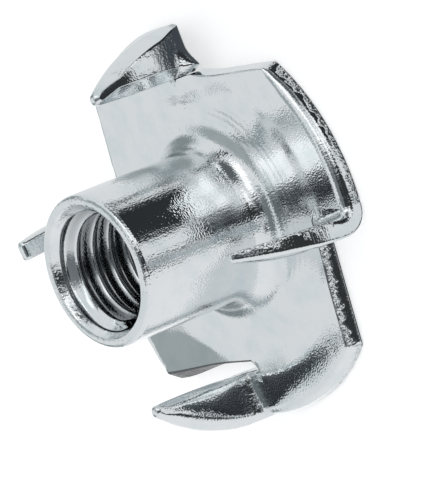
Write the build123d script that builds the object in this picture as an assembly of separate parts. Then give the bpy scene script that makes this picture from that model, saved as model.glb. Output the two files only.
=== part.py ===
"""Four-prong tee nut: a flange pressed from sheet, a drawn barrel for the thread and four folded prongs."""

import os
from math import radians, sqrt, tan

from build123d import *

# Flange
flange_diameter = 19.2
sheet_thickness = 1.0
flange_corner_radius = 0.4

# Barrel, drawn up from the middle of the flange
overall_height = 8.75
barrel_diameter = 7.5
barrel_foot_radius = 1.25
barrel_rim_radius = 0.28

# Hole through the barrel, at the crest size of an M6 thread
bore_diameter = 5.0
countersink_diameter = 6.5
countersink_angle = 70.0
bore_entry_radius = 1.1

# Slits that free the prongs from the flange
prong_count = 4
slit_start = 6.85
slit_angle = 8.8
slit_end_bevel = 0.2

# Prongs, folded up beside the barrel
fold_offset = 1.3
fold_inner_radius = 0.6
prong_lean = 2.5
prong_apex_height = 7.25
prong_tip_radius = 0.32
prong_tip_thickness = 0.5

# Extra length of a cutting shape past the metal it cuts
overrun = 1.0

# Sizes that follow from the ones above
flange_radius = flange_diameter / 2
barrel_radius = barrel_diameter / 2
barrel_foot = barrel_radius + barrel_foot_radius
bore_radius = bore_diameter / 2
bore_entry = bore_radius + bore_entry_radius
countersink_radius = countersink_diameter / 2
countersink_depth = (countersink_radius - bore_radius) / tan(radians(countersink_angle / 2))
fold_outer_radius = fold_inner_radius + sheet_thickness
rim_at_fold = sqrt(flange_radius**2 - fold_offset**2)
prong_root = slit_start + slit_end_bevel
prong_apex = prong_root + (prong_apex_height - fold_outer_radius) * tan(radians(prong_lean))


def around_the_axis(shape):
    """The shape repeated around the barrel's axis, once for each prong."""
    return [Rot(0, 0, turn * 360 / prong_count) * shape for turn in range(prong_count)]


def flap_opening():
    """The part of the blank between one slit, its fold line and the rim, which becomes a prong."""
    reach = flange_radius + overrun
    opening = make_face(
        Polyline(
            (slit_start, -fold_offset),
            (slit_start - reach * tan(radians(slit_angle)), -fold_offset - reach),
            (reach, -fold_offset - reach),
            (reach, -fold_offset),
            close=True,
        )
    )
    slit_end = opening.vertices().sort_by_distance((slit_start, -fold_offset))[0]
    return chamfer(slit_end, slit_end_bevel)


def flange():
    """The flat sheet that is left when the flaps are folded out of the round blank."""
    blank = Sketch() + Circle(flange_radius)
    slit_at_rim = (blank - flap_opening()).vertices().sort_by(Axis.Y)[0]
    blank -= around_the_axis(flap_opening())
    corners = [blank.vertices().sort_by_distance(corner)[0] for corner in around_the_axis(slit_at_rim)]
    blank = fillet(corners, flange_corner_radius)
    return extrude(blank - Circle(bore_entry), sheet_thickness)


def barrel():
    """The drawn tube with its curved foot, rounded rim, countersunk mouth and curved entry below."""
    foot_top = sheet_thickness + barrel_foot_radius
    rim_bottom = overall_height - barrel_rim_radius
    rim_inside = barrel_radius - barrel_rim_radius
    bore_top = overall_height - countersink_depth
    section = make_face(
        [
            CenterArc((bore_entry, bore_entry_radius), bore_entry_radius, 180, 90),
            Line((bore_radius, bore_entry_radius), (bore_radius, bore_top)),
            Line((bore_radius, bore_top), (countersink_radius, overall_height)),
            Line((countersink_radius, overall_height), (rim_inside, overall_height)),
            CenterArc((rim_inside, rim_bottom), barrel_rim_radius, 0, 90),
            Line((barrel_radius, rim_bottom), (barrel_radius, foot_top)),
            CenterArc((barrel_foot, foot_top), barrel_foot_radius, 180, 90),
            Line((barrel_foot, sheet_thickness), (barrel_foot, 0)),
            Line((barrel_foot, 0), (bore_entry, 0)),
        ]
    )
    return revolve(Plane.XZ * section, Axis.Z)


def prong():
    """One folded flap: the bend, then a plate that thins and narrows to a rounded point."""
    inner_face = -fold_offset - fold_inner_radius
    outer_face = -fold_offset - fold_outer_radius
    tip_face = inner_face - prong_tip_thickness
    section = make_face(
        [
            Line((0, 0), (-fold_offset, 0)),
            CenterArc((-fold_offset, fold_outer_radius), fold_outer_radius, 180, 90),
            TangentArc((outer_face, fold_outer_radius), (tip_face, prong_apex_height), tangent=(0, 1)),
            Line((tip_face, prong_apex_height), (inner_face, prong_apex_height)),
            Line((inner_face, prong_apex_height), (inner_face, fold_outer_radius)),
            CenterArc((-fold_offset, fold_outer_radius), fold_inner_radius, 180, 90),
            Line((-fold_offset, sheet_thickness), (0, sheet_thickness)),
            Line((0, sheet_thickness), (0, 0)),
        ]
    )
    outline = make_face(
        [
            Line((prong_root, 0), (prong_root, fold_outer_radius)),
            TangentArc((prong_root, fold_outer_radius), (prong_apex, prong_apex_height), tangent=(0, 1)),
            TangentArc((rim_at_fold, fold_outer_radius), (prong_apex, prong_apex_height), tangent=(0, 1)),
            Line((rim_at_fold, fold_outer_radius), (rim_at_fold, 0)),
            Line((rim_at_fold, 0), (prong_root, 0)),
        ]
    )
    tip = outline.vertices().sort_by_distance((prong_apex, prong_apex_height))[0]
    outline = fillet(tip, prong_tip_radius)
    folded = extrude(Plane.YZ * section, flange_radius)
    return folded & extrude(Plane.XZ * outline, flange_radius)


tee_nut = flange() + barrel() + around_the_axis(prong())

os.makedirs("parts", exist_ok=True)
export_step(tee_nut, "parts/tee_nut.step")
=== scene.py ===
from math import atan2, cos, pi, radians, sin, sqrt, tan

import bmesh
import bpy
import numpy as np
from mathutils import Matrix


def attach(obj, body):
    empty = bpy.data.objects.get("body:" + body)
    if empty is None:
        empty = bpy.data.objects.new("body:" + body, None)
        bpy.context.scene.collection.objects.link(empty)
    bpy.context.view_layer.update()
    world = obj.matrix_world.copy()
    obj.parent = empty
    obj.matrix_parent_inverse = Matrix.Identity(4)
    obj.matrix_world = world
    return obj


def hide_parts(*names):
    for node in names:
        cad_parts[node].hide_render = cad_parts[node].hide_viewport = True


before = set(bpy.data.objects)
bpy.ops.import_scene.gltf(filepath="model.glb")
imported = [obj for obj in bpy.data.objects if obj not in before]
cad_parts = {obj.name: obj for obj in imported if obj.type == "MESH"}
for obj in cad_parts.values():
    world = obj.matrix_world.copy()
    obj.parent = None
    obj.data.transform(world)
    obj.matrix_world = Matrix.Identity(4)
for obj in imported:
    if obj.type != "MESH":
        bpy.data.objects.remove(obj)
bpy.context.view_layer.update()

# Tee nut: one piece of 1 mm steel strip, blanked round, drawn into a barrel in the middle, slit in four
# places and folded up into four prongs, then tapped M6 and plated with bright zinc.
# Lengths in this section are in millimetres; the mesh is scaled to metres when it is joined.
millimetre = 0.001
flange_radius = 9.6
sheet = 1.0
corner_radius = 0.4
slit_start = 6.85
slit_tilt = radians(8.8)
slit_end_bevel = 0.2
fold_line = 1.3
bend_inside = 0.6
prong_root = slit_start + slit_end_bevel
prong_back = sqrt(flange_radius**2 - fold_line**2)
prong_rise = 5.65
prong_lean = radians(2.5)
tip_radius = 0.32
tip_thickness = 0.5
barrel_radius = 3.75
foot_radius = 1.25
barrel_foot = barrel_radius + foot_radius
barrel_top = 8.75
rim_radius = 0.28
bore_radius = 2.5
mouth_radius = 3.25
countersink = tan(radians(35))
entry_radius = 1.1
thread_pitch = 1.0
thread_root = 3.0


# Outline of a prong, as distance from the axis and rise past the bend: two arcs and a rounded tip.
# Round the bend, the rise runs from -1 at the fold line to 0.
def arc_from_upright(start, run, rise):
    """Centre and radius of an arc that starts straight up and ends run across and rise above its start."""
    radius = (run**2 + rise**2) / (2 * run)
    return np.array([start + radius, 0.0]), abs(radius)


apex = prong_root + prong_rise * tan(prong_lean)
inner_centre, inner_arc = arc_from_upright(prong_root, apex - prong_root, prong_rise)
back_centre, back_arc = arc_from_upright(prong_back, apex - prong_back, prong_rise)
taper_arc = (tip_thickness**2 + prong_rise**2) / (2 * tip_thickness)
apart = inner_centre[0] - back_centre[0]
along = (apart**2 + (back_arc - tip_radius) ** 2 - (inner_arc - tip_radius) ** 2) / (2 * apart)
tip_centre = back_centre + [along, sqrt((back_arc - tip_radius) ** 2 - along**2)]
inner_tip_turn, back_tip_turn = (
    atan2(tip_centre[1] - centre[1], tip_centre[0] - centre[0]) for centre in (inner_centre, back_centre)
)
tip_top = (inner_tip_turn + back_tip_turn) / 2
bend_rows, edge_rows, tip_rows = 12, 28, 7


def unit_ways(turns):
    """Unit vectors that point along the given turns round the axis."""
    return np.stack([np.cos(turns), np.sin(turns)], 1)


def edge_of_prong(centre, radius, side, tip_turn):
    """Points and outward normals of one edge of a prong: round the bend, up the edge, over half the tip."""
    bend = np.linspace(-1, 0, bend_rows, endpoint=False)
    start = centre[0] + side * radius
    points = [np.stack([np.full_like(bend, start), bend], 1)]
    normals = [np.tile([side, 0.0], (bend_rows, 1))]
    rise = np.linspace(0, tip_centre[1] + tip_radius * sin(tip_turn), edge_rows + 1)
    points.append(np.stack([centre[0] + side * np.sqrt(radius**2 - rise**2), rise], 1))
    normals.append((points[-1] - centre) / radius)
    normals.append(unit_ways(np.linspace(tip_turn, tip_top, tip_rows + 1)[1:]))
    points.append(tip_centre + tip_radius * normals[-1])
    return np.vstack(points), np.vstack(normals)


inner_edge, inner_normals = edge_of_prong(inner_centre, inner_arc, -1, inner_tip_turn)
back_edge, back_normals = edge_of_prong(back_centre, back_arc, 1, back_tip_turn)
up_and_over = np.concatenate([inner_edge, back_edge[-2::-1]])


def sheet_left(rise, thinning):
    """Thickness of the prong, which thins from the bend to the tip."""
    return sheet - thinning * (taper_arc - np.sqrt(taper_arc**2 - np.maximum(rise, 0) ** 2))


late_length = 3.6
bend_path_steps, prong_path_steps = 48, 60
path_rise = np.concatenate(
    [np.linspace(-1, 0, bend_path_steps, endpoint=False), np.linspace(0, prong_rise, prong_path_steps)]
)


def bend_path(overbend, late_turn):
    """Turn of a prong's inner face at each rise of the path, and its distance and height there."""
    bent = pi / 2 + overbend - late_turn
    middle = (path_rise[1:] + path_rise[:-1]) / 2
    late = bent + late_turn * np.clip(middle / late_length, 0, 1)
    turn = np.where(middle < 0, (middle + 1) * bent, late)
    step = np.diff(path_rise) * np.where(middle < 0, bend_inside * bent, 1.0)
    y = np.concatenate([[-fold_line], -fold_line - np.cumsum(np.cos(turn) * step)])
    z = np.concatenate([[sheet], sheet + np.cumsum(np.sin(turn) * step)])
    return np.interp(path_rise, middle, turn), y, z


def smooth_step(low, high, value):
    """0 at low and 1 at high, with a smooth run between them; low may be the larger of the two."""
    share = np.clip((value - low) / (high - low), 0, 1)
    return share * share * (3 - 2 * share)


def band(value, start, full, fade, end):
    """1 from full to fade, running out smoothly to 0 at start and at end."""
    return smooth_step(start, full, value) * smooth_step(end, fade, value)


least_width = 0.2
crown_full, crown_fade = 2.0, 3.0
flare_width, flare_length = 1.3, 1.4


def fold_up(outline, depth, overbend, thinning, crown, crease, late_turn=0.0, sway=0.0, tuck=0.0, flare=0.0):
    """Points of a prong from its outline; depth runs from 0 on the inner face to 1 on the outer face."""
    across, rise = outline[..., 0], outline[..., 1]
    turn, y, z = (np.interp(rise, path_rise, values) for values in bend_path(overbend, late_turn))
    up = np.maximum(rise, 0)
    past_fold = rise + 1
    inner = inner_centre[0] - np.sqrt(inner_arc**2 - up**2)
    outer = back_centre[0] + np.sqrt(back_arc**2 - up**2)
    spread = np.clip((across - inner) / np.maximum(outer - inner, least_width), 0, 1)
    pull = crease * (1 - spread) * (1 - depth) ** 2 * np.sin(pi * np.clip(past_fold, 0, 1)) ** 2
    y, z = y + pull * (-fold_line - bend_inside - y), z + pull * (sheet - z)
    domed = crown * 4 * spread * (1 - spread) * band(up, 0, crown_full, crown_fade, prong_rise)
    near_root = smooth_step(flare_width, 0, across - inner)
    flared = flare * depth * near_root * np.sin(pi * np.clip(past_fold / flare_length, 0, 1))
    left = sheet_left(rise, thinning)
    y = y - depth * left * np.sin(turn) + domed - flared + tuck * smooth_step(-1, 0, rise)
    z = z - depth * left * np.cos(turn)
    return np.stack([across + sway * up, y, z], -1)


# Outline of the flange over one quarter, from the rim at a fold line round to the next slit's end.
# Points crowd towards the slit's end, where the flange meets the next fold.
rim_steps, corner_steps, slit_steps, bevel_steps, fold_steps = 42, 6, 16, 4, 12
columns = rim_steps + corner_steps + slit_steps + bevel_steps + fold_steps
slit_crowding = 1.4
slit_way = np.array([cos(slit_tilt), -sin(slit_tilt)])
slit_normal = np.array([sin(slit_tilt), cos(slit_tilt)])
slit_origin = np.array([fold_line, slit_start])
corner_reach = slit_normal @ slit_origin - corner_radius
corner_along = sqrt((flange_radius - corner_radius) ** 2 - corner_reach**2)
corner_centre = corner_reach * slit_normal + corner_along * slit_way
rim_from = -atan2(fold_line, prong_back)
rim_to = atan2(corner_centre[1], corner_centre[0])
slit_from = corner_centre + corner_radius * slit_normal
slit_to = slit_origin + slit_end_bevel * slit_way
bevel_to = np.array([fold_line, prong_root])
bevel_normal = np.array([bevel_to[1] - slit_to[1], slit_to[0] - bevel_to[0]])
bevel_normal /= np.hypot(*bevel_normal)
rim_normals = unit_ways(np.linspace(rim_from, rim_to, rim_steps + 1)[1:])
corner_normals = unit_ways(np.linspace(rim_to, pi / 2 - slit_tilt, corner_steps + 1)[1:])
along_slit = 1 - (1 - np.linspace(0, 1, slit_steps + 1)[1:, None]) ** slit_crowding
along_bevel = np.linspace(0, 1, bevel_steps + 1)[1:-1, None]
slit_insets = np.tile(-slit_normal, (slit_steps, 1))
slit_insets[-1] = -(slit_normal + bevel_normal) / (1 + slit_normal @ bevel_normal)
bevel_insets = np.tile(-bevel_normal, (bevel_steps - 1, 1))
flange_insets = np.vstack([-rim_normals, -corner_normals, slit_insets, bevel_insets])
flange_edge = np.vstack(
    [
        flange_radius * rim_normals,
        corner_centre + corner_radius * corner_normals,
        slit_from + (slit_to - slit_from) * along_slit,
        slit_to + (bevel_to - slit_to) * along_bevel,
    ]
)


def mix(first, second, share):
    return first + (second - first) * share


# Section of a sheared edge, as inset from the outline and depth below the upper face.
# The punch rolls the rim's upper edge and the lower edge of the slits and prongs.
# Blanked is 1 along the rim, where the punch came from above, and 0 along a slit.
small_roll, rim_roll, slit_roll = 0.1, 0.5, 0.2
rim_roll_run, rim_roll_least_share = 1.6, 0.5
shear_slant = 0.1
shear_mark_end = 1.2
tip_roll, tip_roll_share = 0.2, 0.45
most_rolled_share = 0.8
bevel_width_share = 0.83
cut_wall_steps = 6
bevel_shares = np.array([0.0, 0.05, 0.2, 0.5, 0.85, 0.97, 1.0])
roll_turns = np.linspace(0, pi / 2, len(bevel_shares))
wall_depths = np.linspace(0, 1, cut_wall_steps + 1)[1:-1]
blanked = np.concatenate(
    [
        np.ones(rim_steps),
        np.linspace(1, 0, corner_steps + 1)[1:],
        np.zeros(slit_steps + bevel_steps - 1),
    ]
)
rim_left = np.linspace(flange_radius * (rim_to - rim_from), 0, rim_steps)
full_roll = np.concatenate(
    [
        mix(rim_roll_least_share, 1, smooth_step(0.0, rim_roll_run, rim_left)),
        rim_roll_least_share * blanked[rim_steps:],
    ]
)
flange_rolls = np.stack(
    [
        mix(small_roll, rim_roll, full_roll),
        mix(slit_roll, small_roll, blanked),
        shear_slant * (1 - blanked),
    ],
    1,
)


def prong_rolls(edge, from_above, over, under):
    """Rolls at the two faces and slant along a prong's edge, which starts like the slit's or the rim's."""
    share = smooth_step(-1, shear_mark_end, edge[:, 1])
    most = tip_roll + tip_roll_share * np.maximum(tip_centre[1] - edge[:, 1], 0)
    top = np.minimum(mix(mix(small_roll, rim_roll, from_above), over, share), most)
    bottom = np.minimum(mix(mix(slit_roll, small_roll, from_above), under, share), most)
    return np.stack([top, bottom, shear_slant * (1 - from_above) * (1 - share)], 1)


def sheared_section(thickness, top, bottom, slant, bevel=0.0):
    """Inset and depth of the points across a sheared edge with these rolls at its two faces."""
    fit = min(1.0, most_rolled_share * thickness / (top + bottom))
    low_inset = bottom * mix(1 - np.cos(roll_turns), bevel_width_share * bevel_shares, bevel)
    low_rise = bottom * mix(1 - np.sin(roll_turns), 1 - bevel_shares, bevel)
    insets = np.concatenate([top * (1 - np.sin(roll_turns)), 0 * wall_depths, low_inset])
    insets += slant * np.concatenate([1 + 0 * roll_turns, 1 - wall_depths, 0 * roll_turns])
    depths = np.concatenate(
        [
            fit * top * (1 - np.cos(roll_turns)),
            fit * top + (thickness - fit * (top + bottom)) * wall_depths,
            thickness - fit * low_rise,
        ]
    )
    return insets[:, None], depths


# Each prong left the press a little differently. Its overbend and late turn, in radians, say how far past
# upright it is bent and how much of that comes above the bend. It sways outwards by a share of its rise and
# is tucked in past the bend. It thins by a share of the drawn taper, and its face is crowned, or hollow
# below zero. The crease pulls in the inner corner of the bend, and the flare spreads the foot outwards.
prong_bends = [
    dict(overbend=0.06, thinning=1.4, crown=-0.12, crease=0.2, tuck=0.25),
    dict(overbend=0.05, thinning=1.0, crown=-0.12, crease=0.5, late_turn=0.3, sway=-0.02, flare=0.6),
    dict(overbend=0.07, thinning=0.1, crown=-0.12, crease=0.5),
    dict(overbend=0.02, thinning=1.0, crown=0.1, crease=0.6, sway=-0.07),
]

# Rolls of each prong's edge at its inner and outer face, and how far the outer one is a flat bevel, which
# starts in the bend.
prong_edges = [(0.12, 0.14, 0.0), (0.1, 0.6, 1.0), (0.2, 0.2, 0.0), (0.5, 0.3, 0.0)]
bevel_full_rise = -0.3
prong_sides = ((inner_edge, inner_normals, 0.0), (back_edge, back_normals, 1.0))
crotch_miter = np.array([1.0, (1 + bevel_normal[1]) / bevel_normal[0]])


def shear_prong(bends, over, under, bevel):
    """Points across the two sheared edges of a prong, and the same points laid on its outline."""
    sides, ends = [], []
    for edge, normals, from_above in prong_sides:
        side = []
        for point, normal, rolls in zip(edge, normals, prong_rolls(edge, from_above, over, under)):
            thickness = sheet_left(point[1], bends["thinning"])
            bevelled = bevel * smooth_step(-1.0, bevel_full_rise, point[1])
            inset, depth = sheared_section(thickness, *rolls, bevelled)
            ends.append(point - inset * normal)
            side.append(fold_up(ends[-1], depth / thickness, **bends))
        sides.append(np.array(side))
    # The first row lies in the crotch, where the prong's edge meets the end of the slit.
    inset, depth = sheared_section(sheet, *flange_rolls[-1])
    sides[0][0, :, :2] = np.array([prong_root, -fold_line]) + inset * crotch_miter
    sides[0][0, :, 2] = sheet - depth
    return sides, np.array(ends).reshape(2, len(inner_edge), -1, 2)


# One slit still has a strip of metal along its wall, wider near the fold, and the wall of one is pushed out
# towards the rim, more at the lower face than at the upper one.
slit_webs = [1.0, 0.0, 0.0, 0.0]
slit_pushes = [0.0, 0.0, 1.0, 0.0]
web_width, web_extra, web_clearance = 0.25, 0.15, 0.02
web_extra_full, web_extra_end = 1.0, 3.0
web_tight_fade, web_tight_end, web_tight_share = 1.0, 2.0, 0.8
push_start, push_full = 3.4, 7.4
push_above, push_added_below = 0.2, 0.42


def shear_flange(web, push):
    """Points across the flange's sheared edge over one quarter."""
    flat = np.zeros((len(flange_edge), 2 * len(roll_turns) + len(wall_depths), 3))
    for spot, (point, way, rolls) in enumerate(zip(flange_edge, flange_insets, flange_rolls)):
        tight = band(point[0] - fold_line, 0.0, slit_end_bevel, web_tight_fade, web_tight_end)
        tight *= web * (1 - blanked[spot]) * web_tight_share
        inset, depth = sheared_section(sheet, *(rolls * (1 - tight)))
        flat[spot, :, :2] = point + inset * way
        flat[spot, :, 2] = sheet - depth
    in_slit = (1 - blanked)[:, None]
    off_fold = flat[..., 0] - fold_line
    gap = slit_end_bevel - web_clearance + off_fold * tan(slit_tilt)
    strip = web_width + web_extra * smooth_step(web_extra_end, web_extra_full, off_fold)
    flat[..., 1] += web * in_slit * np.minimum(gap, strip) * smooth_step(0.0, slit_end_bevel, off_fold)
    lowered = 1 - flat[..., 2] / sheet
    pushed = push * in_slit * smooth_step(push_start, push_full, flat[..., 0])
    flat[..., 1] += pushed * (push_above + push_added_below * lowered)
    return flat


bend_start, bend_full = -1.15, -0.8
crinkle_end = 0.5


def bent_share(edge, end=crinkle_end):
    """How far a point of a prong lies in the bend, where shear marks are rubbed out and the skin creases."""
    return band(edge[..., 1], bend_start, bend_full, 0.0, end)


skin = []


def lay_skin(points, finish, closed=False, shear=None):
    """Keeps a grid of points as a patch of the metal's skin, with its finish and its shear map."""
    points = np.asarray(points, float)
    if closed:
        points = np.concatenate([points, points[:, :1]], 1)
    skin.append((points, finish, np.zeros((*points.shape[:2], 2)) if shear is None else shear))


def quarter_turn(points, quarter):
    """The points turned round the barrel's axis to one of the four quarters."""
    return points @ np.array(Matrix.Rotation(quarter * pi / 2, 3, "Z")).T


# The shear map runs along a sheared edge in millimetres and across it from the torn side, 0, to the rolled
# side, 1. A prong's edge starts at its burnished share, and each slit's wall has a least and a span of its
# own. On a prong's faces the second number is the share of crinkled skin, which reaches far up the prong
# that was stretched.
crinkle_ends = [crinkle_end, 5.0, crinkle_end, crinkle_end]
burnished_shares = [0.26, 0.75, 0.75, 0.75]
slit_shears = [(0.75, 0.25), (0.2, 0.8), (0.0, 0.12), (0.1, 0.9)]
blanked_end = 0.6
top_outline, bottom_outline = [], []
edge_strip, edge_blanked, edge_bent, edge_worn = [], [], [], []
for quarter, bends in enumerate(prong_bends):
    sides, ends = shear_prong(bends, *prong_edges[quarter])
    flat = shear_flange(slit_webs[quarter], slit_pushes[quarter])
    edge_strip.append(quarter_turn(np.concatenate([sides[0], sides[1][-2::-1], flat]), quarter))
    back_blanked = smooth_step(blanked_end, -1, back_edge[-2::-1, 1])
    edge_blanked.append(np.concatenate([0 * inner_edge[:, 1], back_blanked, blanked]))
    edge_bent.append(np.concatenate([bent_share(up_and_over), 0 * blanked]))
    least, span = slit_shears[quarter]
    prong_worn = (up_and_over[:, 1] > 0) * burnished_shares[quarter]
    flange_worn = (1 - blanked)[:, None] * [least, span - 1] + [0, 1]
    edge_worn.append(np.concatenate([np.stack([prong_worn, 1 - prong_worn], 1), flange_worn]))
    for face, outline in ((0, top_outline), (-1, bottom_outline)):
        share = np.linspace(0, 1, fold_steps + 1)[None, :, None]
        spots = mix(ends[0][:, None, face], ends[1][:, None, face], share)
        rows = fold_up(spots, -face, **bends)
        rows[0] = mix(sides[0][0, face], sides[1][0, face], share[0])
        rows[:, 0], rows[:, -1] = sides[0][:, face], sides[1][:, face]
        bent = bent_share(spots, crinkle_ends[quarter])
        lay_skin(quarter_turn(rows, quarter), "sheet", shear=np.stack([0 * bent, bent], -1))
        outline.append(quarter_turn(np.concatenate([rows[0], flat[:, face]]), quarter))
edge_strip = np.concatenate(edge_strip + [edge_strip[0][:1]])
edge_blanked = np.concatenate(edge_blanked + [edge_blanked[0][:1]])[:, None]
edge_bent = np.concatenate(edge_bent + [edge_bent[0][:1]])[:, None]
edge_worn = np.concatenate(edge_worn + [edge_worn[0][:1]])
edge_steps = np.linalg.norm(np.diff(edge_strip.mean(1), axis=0), axis=1)
edge_lengths = np.concatenate([[0], np.cumsum(edge_steps)])[:, None]
across_edge = np.linspace(0, 1, edge_strip.shape[1])[None, :]
rolled_side = edge_blanked * (1 - across_edge) + (1 - edge_blanked) * across_edge
rolled_side = edge_worn[:, :1] + edge_worn[:, 1:] * rolled_side
shear = np.stack([edge_lengths + 0 * across_edge, np.maximum(rolled_side, edge_bent)], -1)
lay_skin(edge_strip.transpose(1, 0, 2), "sheared", shear=shear.transpose(1, 0, 2))

# Skin of the flange's two faces, in rings: round near the barrel, then running out into the outline,
# with the rings crowded towards it.
ring_turns = -atan2(fold_line, prong_root) + np.arange(columns * 4) * 2 * pi / (columns * 4)
last_circle = 6.3
ring_crowding = 1.5


def spread_flange(inner_radius, outline, height, circles, rings):
    """Lays one face of the flange, from a circle round the barrel to the outline of the blank."""
    outline = np.concatenate(outline)
    out_radius = np.hypot(outline[:, 0], outline[:, 1])
    out_turn = ring_turns + (np.arctan2(outline[:, 1], outline[:, 0]) - ring_turns + pi) % (2 * pi) - pi
    level = height + 0 * ring_turns
    rows = []
    for radius in np.linspace(inner_radius, last_circle, circles + 1):
        rows.append(np.stack([radius * np.cos(ring_turns), radius * np.sin(ring_turns), level], 1))
    for share in np.linspace(0, 1, rings + 1)[1:-1]:
        share = 1 - (1 - share) ** ring_crowding
        turn = mix(ring_turns, out_turn, share)
        radius = mix(last_circle, out_radius, share)
        rows.append(np.stack([radius * np.cos(turn), radius * np.sin(turn), level], 1))
    lay_skin(rows + [outline], "sheet", True)


spread_flange(barrel_foot, top_outline, sheet, circles=18, rings=28)
spread_flange(bore_radius + entry_radius, bottom_outline, 0, circles=5, rings=8)


# Skin of the barrel, turned from its section: curved foot, wall, rounded rim and countersunk mouth.
def turn_section(section, finish):
    """Lays the skin of a section, given as radii and heights, turned round the axis."""
    section = np.asarray(section, float)
    ring = np.stack([np.cos(ring_turns), np.sin(ring_turns), 0 * ring_turns], 1)
    lay_skin(section[:, :1, None] * ring + section[:, 1:, None] * [0, 0, 1.0], finish, True)


def arc(centre, radius, start, end, steps):
    return centre + radius * unit_ways(np.linspace(start, end, steps + 1))


foot_steps, wall_steps, rim_arc_steps, mouth_steps = 20, 16, 8, 5
mouth_edge_width, mouth_edge_drop = 0.03, 0.04
foot_top, rim_bottom = sheet + foot_radius, barrel_top - rim_radius
foot = arc((barrel_foot, foot_top), foot_radius, -pi / 2, -pi, foot_steps)
wall_heights = np.linspace(foot_top, rim_bottom, wall_steps + 1)[1:-1]
wall = np.stack([np.full_like(wall_heights, barrel_radius), wall_heights], 1)
rim = arc((barrel_radius - rim_radius, rim_bottom), rim_radius, 0, pi / 2, rim_arc_steps)
thread_end = barrel_top - (mouth_radius - thread_root) / countersink
mouth_heights = np.linspace(barrel_top - mouth_edge_drop, thread_end, mouth_steps + 1)
mouth = np.stack([mouth_radius - (barrel_top - mouth_heights) * countersink, mouth_heights], 1)
turn_section(np.vstack([foot, wall, rim, [(mouth_radius + mouth_edge_width, barrel_top)], mouth]), "drawn")

# Skin of the hole: an M6 thread that runs out into the countersink above and the curved entry below.
# The shear map's first number is here the depth of the groove, fading in below the mouth: it sets the
# painted shade in the grooves.
thread_steps = 12
half_root_share, flank_share = 0.125, 0.3125
entry_steps, entry_top = 5, 0.165
# Heights below the mouth where the painted shade in the grooves starts and where it is full.
groove_shade_top, groove_shade_full = thread_end - 0.3, thread_end - 1.1


def entry_curve(heights):
    """Radius of the hole's curved entry at the given heights."""
    return bore_radius + entry_radius - np.sqrt(entry_radius**2 - np.maximum(entry_radius - heights, 0) ** 2)


thread_turns = np.append(ring_turns, ring_turns[0] + 2 * pi)
turn_count = int((thread_end - entry_top) / thread_pitch + 1)
turns_up = np.arange(-thread_steps, turn_count * thread_steps + 1) / thread_steps
turned = (thread_turns - thread_turns[0])[None, :] / (2 * pi)
heights = np.clip(entry_top + (turns_up[:, None] + turned) * thread_pitch, entry_top, thread_end)
flank = np.clip((np.abs((turns_up % 1) - 0.5) - half_root_share) / flank_share, 0, 1)[:, None]
cut = mix(thread_root, bore_radius, flank)
lead = bore_radius + (heights - (barrel_top - (mouth_radius - bore_radius) / countersink)) * countersink
uncut = np.maximum(entry_curve(heights), lead)
radius = np.maximum(cut, uncut)
groove = np.where(cut >= uncut, (cut - bore_radius) / (thread_root - bore_radius), 0.0)
groove *= smooth_step(groove_shade_top, groove_shade_full, heights)
lay_skin(
    np.stack([radius * np.cos(thread_turns), radius * np.sin(thread_turns), heights], -1),
    "thread",
    shear=np.stack([groove, 0 * groove], -1),
)
entry_heights = np.linspace(entry_top, 0, entry_steps + 1)
turn_section(np.stack([entry_curve(entry_heights), entry_heights], 1), "drawn")

# What the press leaves in the flange: it is pulled up a little beside three of the folds, one corner is bent
# up along a crease, and the drawing dies leave a shallow valley and fine steps around the foot.
# The bands of the valley, the steps and the upper skin give their start, full, fade and end.
fold_lifts = [0.0, 0.42, 0.05, 0.2]
lift_reach = 2.2
lift_start, lift_full = 5.0, 6.5
lift_fade, lift_end = -2.2, -6.5
corner_crease = np.array([[-6.73, -4.04], [-3.32, -6.43]])
corner_bend = radians(16)
crease_radius, crease_start = 0.3, 0.25
crease_clear, crease_full = -2.2, -3.2
crease_height = sheet + crease_radius
step_height, step_waves, step_band = 0.003, 20.0, (4.9, 5.1, 5.6, 6.6)
valley_depth, valley_band = 0.1, (5.0, 6.5, 6.75, 7.75)
upper_skin_band = (0.3, 0.9, 1.1, 2.2)


def press_marks(spots):
    """The spots moved as the press left them."""
    points = spots.copy()
    for quarter, lift in enumerate(fold_lifts):
        x, y = quarter_turn(spots, -quarter)[:, :2].T
        away = np.hypot(np.maximum(prong_root - x, 0), np.maximum(y + fold_line, 0))
        held = smooth_step(lift_start, lift_full, x) * smooth_step(lift_end, lift_fade, y)
        points[:, 2] += lift * np.exp(-((away / lift_reach) ** 2)) * held
    way = corner_crease[1] - corner_crease[0]
    across = np.array([way[1], -way[0]]) / np.hypot(*way)
    past = (spots[:, :2] - corner_crease[0]) @ across
    bent = np.sqrt(np.maximum(past + crease_start, 0) ** 2 + crease_radius**2) - crease_radius
    held = (spots[:, 2] < crease_height) * smooth_step(crease_clear, crease_full, spots[:, 0])
    points[:, 2] += tan(corner_bend) * bent * held
    radius = np.hypot(spots[:, 0], spots[:, 1])
    steps = step_height * np.sin(radius * step_waves) * band(radius, *step_band)
    valley = valley_depth * band(radius, *valley_band)
    points[:, 2] += band(spots[:, 2], *upper_skin_band) * (steps - valley)
    return points


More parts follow.
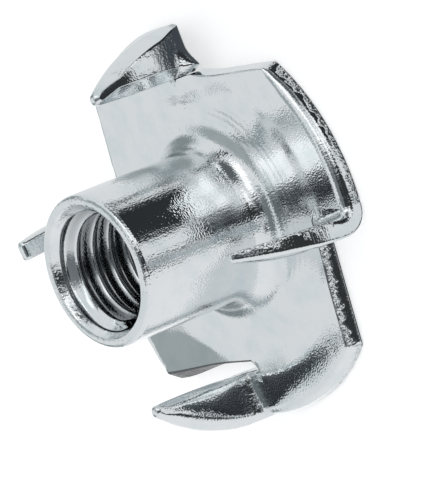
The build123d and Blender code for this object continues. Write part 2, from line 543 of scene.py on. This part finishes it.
# The patches joined to one closed mesh.
finishes = ["sheet", "drawn", "sheared", "thread"]
weld_gap, sliver_width = 0.0015, 0.0001
joined = bmesh.new()
shear_map = joined.loops.layers.uv.new("shear")
for points, finish, shear in skin:
    spots = [[joined.verts.new(spot) for spot in row] for row in points]
    for row in range(len(points) - 1):
        for column in range(points.shape[1] - 1):
            corners = [(row, column), (row, column + 1), (row + 1, column + 1), (row + 1, column)]
            face = joined.faces.new([spots[r][c] for r, c in corners])
            face.material_index = finishes.index(finish)
            face.smooth = True
            for loop, (r, c) in zip(face.loops, corners):
                loop[shear_map].uv = shear[r, c]
bmesh.ops.remove_doubles(joined, verts=joined.verts, dist=weld_gap)
bmesh.ops.dissolve_degenerate(joined, edges=joined.edges, dist=sliver_width)
bmesh.ops.recalc_face_normals(joined, faces=joined.faces)
mesh = bpy.data.meshes.new("tee_nut_plated")
joined.to_mesh(mesh)
joined.free()
places = np.zeros(len(mesh.vertices) * 3)
mesh.vertices.foreach_get("co", places)
mesh.vertices.foreach_set("co", press_marks(places.reshape(-1, 3)).ravel() * millimetre)
mesh.update()
tee_nut = bpy.data.objects.new("tee_nut_plated", mesh)
bpy.context.scene.collection.objects.link(tee_nut)

# Bright zinc over cold-worked steel. Depths of the grain and of other fine marks are in micrometres.
zinc_colour, blued_colour = (0.80, 0.82, 0.83, 1), (0.70, 0.76, 0.78, 1)
micrometre = 1e-6
grains_per_mm = 12.0
wave_depth = 14.0


def put(tree, kind, *inputs, **named):
    """Adds a shader node: bare values and capitalised names fill its sockets, others set its options."""
    made = tree.nodes.new("ShaderNode" + kind)
    sockets = list(zip(made.inputs, inputs))
    for name, value in named.items():
        if name[0].islower():
            setattr(made, name, value)
    for name, value in named.items():
        if name[0].isupper():
            sockets.append((made.inputs[name.replace("_", " ")], value))
    for socket, value in sockets:
        if isinstance(value, bpy.types.NodeSocket):
            tree.links.new(value, socket)
        else:
            socket.default_value = value
    return made


def reckon(tree, operation, *values):
    return put(tree, "Math", *values, operation=operation).outputs["Value"]


def ramp(tree, value, low, high):
    """0 where the value is low and 1 where it is high."""
    return put(tree, "MapRange", value, low, high, 0.0, 1.0).outputs["Result"]


def blend(tree, share, first, second):
    """The first colour where the share is 0, and the second where it is 1."""
    return put(tree, "Mix", data_type="RGBA", Factor=share, A=first, B=second).outputs["Result"]


def place_on_nut(tree):
    """The place on the nut, in millimetres."""
    place = put(tree, "TexCoord").outputs["Object"]
    return put(tree, "VectorMath", place, operation="SCALE", Scale=1 / millimetre).outputs["Vector"]


def place_on_shear_map(tree):
    return put(tree, "UVMap", uv_map="shear").outputs["UV"]


def start_effect(name, takes, gives):
    """A new node group with its named inputs and outputs, and the place on the nut."""
    effect = bpy.data.node_groups.new(name, "ShaderNodeTree")
    for socket in takes:
        effect.interface.new_socket(socket, in_out="INPUT", socket_type="NodeSocketFloat")
    for socket, kind in gives.items():
        effect.interface.new_socket(socket, in_out="OUTPUT", socket_type="NodeSocket" + kind)
    taken = effect.nodes.new("NodeGroupInput")
    given = effect.nodes.new("NodeGroupOutput")
    return effect, taken.outputs, given.inputs, place_on_nut(effect)


# Plating grain: fine crystals, with clouds that are a little bluer and duller.
grain, taken, given, place = start_effect(
    "plating_grain",
    ["Grains per mm", "Grain depth"],
    {"Height": "Float", "Colour": "Color", "Dullness": "Float"},
)
crystals = put(grain, "TexNoise", Vector=place, Scale=taken["Grains per mm"], Detail=0.0).outputs["Fac"]
clouds = put(grain, "TexNoise", Vector=place, Scale=0.7, Detail=3.0, Roughness=0.6).outputs["Fac"]
waves = put(grain, "TexNoise", Vector=place, Scale=0.9, Detail=1.0).outputs["Fac"]
height = reckon(grain, "MULTIPLY", crystals, taken["Grain depth"])
grain.links.new(reckon(grain, "MULTIPLY_ADD", waves, wave_depth, height), given["Height"])
dullness = put(grain, "MapRange", clouds, From_Min=0.35, From_Max=0.7, To_Min=0.04, To_Max=0.10)
grain.links.new(dullness.outputs["Result"], given["Dullness"])
grain.links.new(blend(grain, ramp(grain, clouds, 0.45, 0.75), zinc_colour, blued_colour), given["Colour"])

# Draw lines: scores that run away from the barrel's axis, as the drawing punch leaves them.
score_drift = 0.4
scores, taken, given, place = start_effect("draw_lines", ["Lines round", "Line depth"], {"Height": "Float"})
axes = put(scores, "SeparateXYZ", place).outputs
level = put(scores, "CombineXYZ", axes["X"], axes["Y"]).outputs["Vector"]
spoke = put(scores, "VectorMath", level, operation="NORMALIZE").outputs["Vector"]
spread = put(scores, "VectorMath", spoke, operation="SCALE", Scale=taken["Lines round"]).outputs["Vector"]
reach = put(scores, "VectorMath", level, operation="LENGTH").outputs["Value"]
run = reckon(scores, "MULTIPLY", reckon(scores, "SUBTRACT", reach, axes["Z"]), score_drift)
drift = put(scores, "CombineXYZ", 0.0, 0.0, run).outputs["Vector"]
spread = put(scores, "VectorMath", spread, drift, operation="ADD").outputs["Vector"]
lines = put(scores, "TexNoise", Vector=spread, Scale=1.0, Detail=2.0, Roughness=0.7).outputs["Fac"]
scores.links.new(reckon(scores, "MULTIPLY", lines, taken["Line depth"]), given["Height"])


def start_zinc(name, grain_depth):
    """A plated finish with its grain; gives the node tree, the shader and the grain's outputs."""
    material = bpy.data.materials.new(name)
    material.use_nodes = True
    tree = material.node_tree
    zinc = tree.nodes["Principled BSDF"]
    zinc.inputs["Metallic"].default_value = 1.0
    coat = put(tree, "Group", node_tree=grain, Grains_per_mm=grains_per_mm, Grain_depth=grain_depth).outputs
    tree.links.new(coat["Colour"], zinc.inputs["Base Color"])
    tree.links.new(coat["Dullness"], zinc.inputs["Roughness"])
    mesh.materials.append(material)
    return tree, zinc, coat


def score(tree, coat, lines_round, line_depth):
    """Height of the grain with draw lines added to it."""
    lines = put(tree, "Group", node_tree=scores, Lines_round=lines_round, Line_depth=line_depth)
    return reckon(tree, "ADD", coat["Height"], lines.outputs["Height"])


def roughen(tree, zinc, height):
    bump = put(tree, "Bump", Height=height, Strength=1.0, Distance=micrometre)
    tree.links.new(bump.outputs["Normal"], zinc.inputs["Normal"])


# Rolled sheet: faint draw lines, and crinkles where a prong is bent or stretched.
crinkle_depth = 22.0
tree, zinc, coat = start_zinc("rolled_sheet", grain_depth=5.0)
height = score(tree, coat, lines_round=26.0, line_depth=3.0)
bent = put(tree, "SeparateXYZ", place_on_shear_map(tree)).outputs["Y"]
crinkles = put(tree, "TexNoise", Vector=place_on_nut(tree), Scale=5.0, Detail=2.0).outputs["Fac"]
crinkles = reckon(tree, "MULTIPLY", crinkles, bent)
roughen(tree, zinc, reckon(tree, "MULTIPLY_ADD", crinkles, crinkle_depth, height))

# Drawn barrel: deeper draw lines, and a rim knocked about in the plating drum.
dent_depth = 30.0
knocks_start, knocks_full = barrel_top - 0.5, barrel_top - 0.15
tree, zinc, coat = start_zinc("drawn_barrel", grain_depth=7.0)
height = score(tree, coat, lines_round=30.0, line_depth=6.0)
place = place_on_nut(tree)
knocked = ramp(tree, put(tree, "SeparateXYZ", place).outputs["Z"], knocks_start, knocks_full)
dents = put(tree, "TexNoise", Vector=place, Scale=4.0, Detail=3.0).outputs["Fac"]
dents = reckon(tree, "MULTIPLY", dents, knocked)
roughen(tree, zinc, reckon(tree, "MULTIPLY_ADD", dents, dent_depth, height))

# Sheared edge: a burnished band with fine upright lines, then torn metal, which is coloured darker and made
# duller and less metallic furthest from the rolled side. Noise makes the border of the torn metal ragged.
tear_depth, rub_depth = 110.0, 5.0
rubs_per_mm = 7.0
ragged_share, torn_border = 0.5, 0.78
torn_start, torn_full = 0.47, 0.53
# The darker band furthest from the rolled side: where it starts and is full, its colour, the metal it loses
# and the dullness it adds.
torn_dark_start, torn_dark_full = 0.72, 0.82
torn_dark_colour = (0.14, 0.148, 0.155, 1)
torn_dark_metal_lost, torn_dark_dullness, tear_dullness = -0.4, 0.25, 0.04
tree, zinc, coat = start_zinc("sheared_edge", grain_depth=6.0)
shear_place = place_on_shear_map(tree)
side = put(tree, "SeparateXYZ", shear_place).outputs
ragged = put(tree, "TexNoise", Vector=shear_place, Scale=2.2, Detail=3.0, noise_dimensions="2D")
past_border = reckon(tree, "SUBTRACT", torn_border, side["Y"])
past_border = reckon(tree, "MULTIPLY_ADD", ragged.outputs["Fac"], ragged_share, past_border)
torn = ramp(tree, past_border, torn_start, torn_full)
torn_dark = ramp(tree, past_border, torn_dark_start, torn_dark_full)
tears = put(tree, "TexNoise", Vector=place_on_nut(tree), Scale=5.5, Detail=1.5, Roughness=0.5)
tears = reckon(tree, "MULTIPLY", tears.outputs["Fac"], torn)
along_edge = reckon(tree, "MULTIPLY", side["X"], rubs_per_mm)
upright = put(tree, "CombineXYZ", along_edge, side["Y"]).outputs["Vector"]
rubs = put(tree, "TexNoise", Vector=upright, Scale=1.0, Detail=2.0, noise_dimensions="2D")
height = reckon(tree, "MULTIPLY_ADD", rubs.outputs["Fac"], rub_depth, coat["Height"])
roughen(tree, zinc, reckon(tree, "MULTIPLY_ADD", tears, tear_depth, height))
tree.links.new(blend(tree, torn_dark, coat["Colour"], torn_dark_colour), zinc.inputs["Base Color"])
tree.links.new(reckon(tree, "MULTIPLY_ADD", torn_dark, torn_dark_metal_lost, 1.0), zinc.inputs["Metallic"])
dullness = reckon(tree, "MULTIPLY_ADD", torn, tear_dullness, coat["Dullness"])
tree.links.new(reckon(tree, "MULTIPLY_ADD", torn_dark, torn_dark_dullness, dullness), zinc.inputs["Roughness"])

# Thread: the crests keep the plain zinc, and the grooves are painted dark as shade, fading in below the
# mouth.
groove_shade_colour = (0.24, 0.25, 0.26, 1)
groove_shade_start_share, groove_shade_full_share = 0.02, 0.35
tree, zinc, coat = start_zinc("tapped_thread", grain_depth=4.0)
groove = put(tree, "SeparateXYZ", place_on_shear_map(tree)).outputs["X"]
groove_shaded = ramp(tree, groove, groove_shade_start_share, groove_shade_full_share)
tree.links.new(blend(tree, groove_shaded, coat["Colour"], groove_shade_colour), zinc.inputs["Base Color"])
roughen(tree, zinc, coat["Height"])

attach(tee_nut, "root")
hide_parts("tee_nut")

# Floor: a plain sheet of white paper under the nut, which takes its soft shadow and glows to full white for
# the camera. It is hidden from mirror reflections, because the real zinc mirrors dark things below it too:
# here they are the cards of the tent.
paper_size = 2.0
paper_colour, paper_roughness = (0.9, 0.9, 0.9, 1), 0.9
paper_glow = 0.5
bpy.ops.mesh.primitive_plane_add(size=paper_size)
floor = bpy.context.object
floor.name = "floor"
floor.visible_glossy = False
paper = bpy.data.materials.new("white_paper")
paper.use_nodes = True
tree = paper.node_tree
white = tree.nodes["Principled BSDF"]
white.inputs["Base Color"].default_value = paper_colour
white.inputs["Roughness"].default_value = paper_roughness
white.inputs["Emission Color"].default_value = (1, 1, 1, 1)
seen = put(tree, "LightPath").outputs["Is Camera Ray"]
tree.links.new(reckon(tree, "MULTIPLY", seen, paper_glow), white.inputs["Emission Strength"])
floor.data.materials.append(paper)

# Light: a white cloth tent all round the nut, with soft round cards hung in it. Dark cards hang below and on
# the side where the camera looks in, grey ones dim the cloth, and a few white ones brighten it.
# It is all soft light, so that the zinc shows clean bands of white and black.
tent_colour = (0.80, 0.82, 0.83, 1)
world = bpy.data.worlds.new("tent")
world.use_nodes = True
bpy.context.scene.world = world
tent = world.node_tree
sky = put(tent, "TexCoord").outputs["Generated"]


def hang_card(over, azimuth, height, inside, outside, shade):
    """Lays a card over the tent's light, in that direction from the nut, whole inside and gone outside."""
    level = cos(radians(height))
    way = (cos(radians(azimuth)) * level, sin(radians(azimuth)) * level, sin(radians(height)))
    near = put(tent, "VectorMath", sky, way, operation="DOT_PRODUCT").outputs["Value"]
    edges = cos(radians(outside)), cos(radians(inside))
    cover = put(tent, "MapRange", near, *edges, interpolation_type="SMOOTHSTEP").outputs["Result"]
    return blend(tent, cover, over, (*shade, 1))


# Each card has its azimuth, its height, the angles from its middle where its soft edge starts and ends,
# all in degrees, and its shade.
cards = [
    (-90, -10, 30, 75, (0.88, 0.89, 0.90)),
    (0, 90, 10, 35, (0.85, 0.87, 0.88)),
    (138, 54, 16, 26, (0.38, 0.42, 0.43)),
    (-158, 10, 10, 17, (0.24, 0.28, 0.29)),
    (142, 8, 9, 20, (0.26, 0.30, 0.31)),
    (60, 5, 15, 25, (0.12, 0.135, 0.14)),
    (-20, 70, 12, 24, (0.19, 0.21, 0.22)),
    (0, -90, 28, 48, (0.06, 0.07, 0.08)),
    (46, -40, 20, 29, (0.03, 0.033, 0.036)),
    (-19, -37, 4, 9, (0.06, 0.065, 0.07)),
    (-20, -21, 8, 14, (0.035, 0.038, 0.04)),
    (-5, 40, 10, 24, (0.13, 0.14, 0.15)),
    (-16, 38, 9, 17, (0.035, 0.04, 0.045)),
    (-8, 14, 9, 18, (0.035, 0.038, 0.04)),
    (-3, -8, 11, 19, (0.035, 0.038, 0.04)),
    (32, 39, 6, 14, (1.3, 1.3, 1.3)),
    (60, 42, 8, 15, (1.4, 1.4, 1.4)),
    (20, 10, 5, 11, (1.25, 1.25, 1.25)),
    (26, -18, 5, 12, (1.2, 1.2, 1.2)),
    (-157, -24, 8, 18, (1.15, 1.15, 1.15)),
]
light = tent_colour
for card in cards:
    light = hang_card(light, *card)
tent.links.new(light, tent.nodes["Background"].inputs["Color"])

# Camera: a long lens held about 28 cm from the nut, looking into the barrel's mouth from above the flange.
# Its place and turn were fitted to the outline of the nut in the photograph.
camera_place = (0.22673, 0.00435, 0.17055)
camera_turn = (0.879244, -0.091419, 0.439059, -0.160623)
camera = bpy.data.objects.new("camera", bpy.data.cameras.new("camera"))
bpy.context.scene.collection.objects.link(camera)
camera.data.sensor_fit = "VERTICAL"
camera.data.sensor_height = 24.0
camera.data.lens = 288.0
camera.location = camera_place
camera.rotation_mode = "QUATERNION"
camera.rotation_quaternion = camera_turn
bpy.context.scene.camera = camera
bpy.context.scene.view_settings.view_transform = "Standard"
